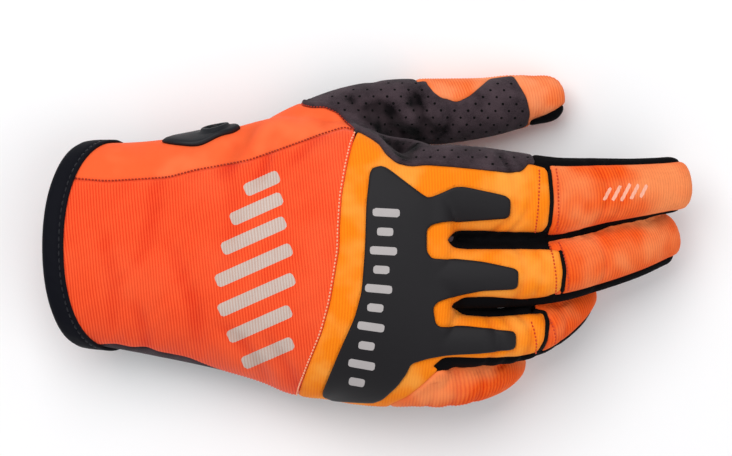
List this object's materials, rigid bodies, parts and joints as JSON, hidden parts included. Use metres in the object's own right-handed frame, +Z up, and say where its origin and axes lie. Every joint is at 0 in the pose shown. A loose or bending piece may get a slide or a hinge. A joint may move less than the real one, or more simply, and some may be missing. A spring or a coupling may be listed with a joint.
{
  "type": "motocross glove",
  "caption": "Slip-on right-hand motocross glove with ribbed stretch back, padded knuckle panel, rubber guard and suede palm",
  "frame": {"origin": "middle of the outline on the plane the glove rests on", "axes": "+X from the cuff to the fingertips, +Y to the thumb side, +Z up from the palm to the back of the hand"},
  "size_m": [0.2458, 0.1262, 0.0611],
  "materials": {
    "ribbed_stretch_red": "ribbed stretch polyester, red-orange",
    "smooth_stretch_orange": "smooth stretch fabric, lighter orange",
    "ribbed_stretch_yellow": "ribbed stretch polyester, yellow-orange",
    "ribbed_stretch_orange": "ribbed stretch polyester, orange",
    "synthetic_suede": "perforated synthetic suede, dark brown-grey",
    "matte_rubber": "matte dark grey rubber",
    "black_stretch": "black stretch fabric and elastic",
    "moulded_rubber": "black moulded rubber, satin"
  },
  "bodies": {
    "root": {"back_panel": "ribbed_stretch_red", "side_panel": "smooth_stretch_orange", "knuckle_panel": "ribbed_stretch_yellow", "index_back": "ribbed_stretch_orange", "middle_back": "ribbed_stretch_orange", "ring_back": "ribbed_stretch_orange", "little_back": "ribbed_stretch_orange", "thumb_back": "ribbed_stretch_orange", "palm": "synthetic_suede", "knuckle_guard": "matte_rubber", "cuff_binding": "black_stretch", "index_flex": "black_stretch", "middle_flex": "black_stretch", "ring_flex": "black_stretch", "gusset_index_outer": "black_stretch", "gusset_index_middle": "black_stretch", "gusset_middle_ring": "black_stretch", "gusset_ring_little": "black_stretch", "thumb_gusset": "black_stretch", "pull_tab": "moulded_rubber"}
  },
  "joints": []
}
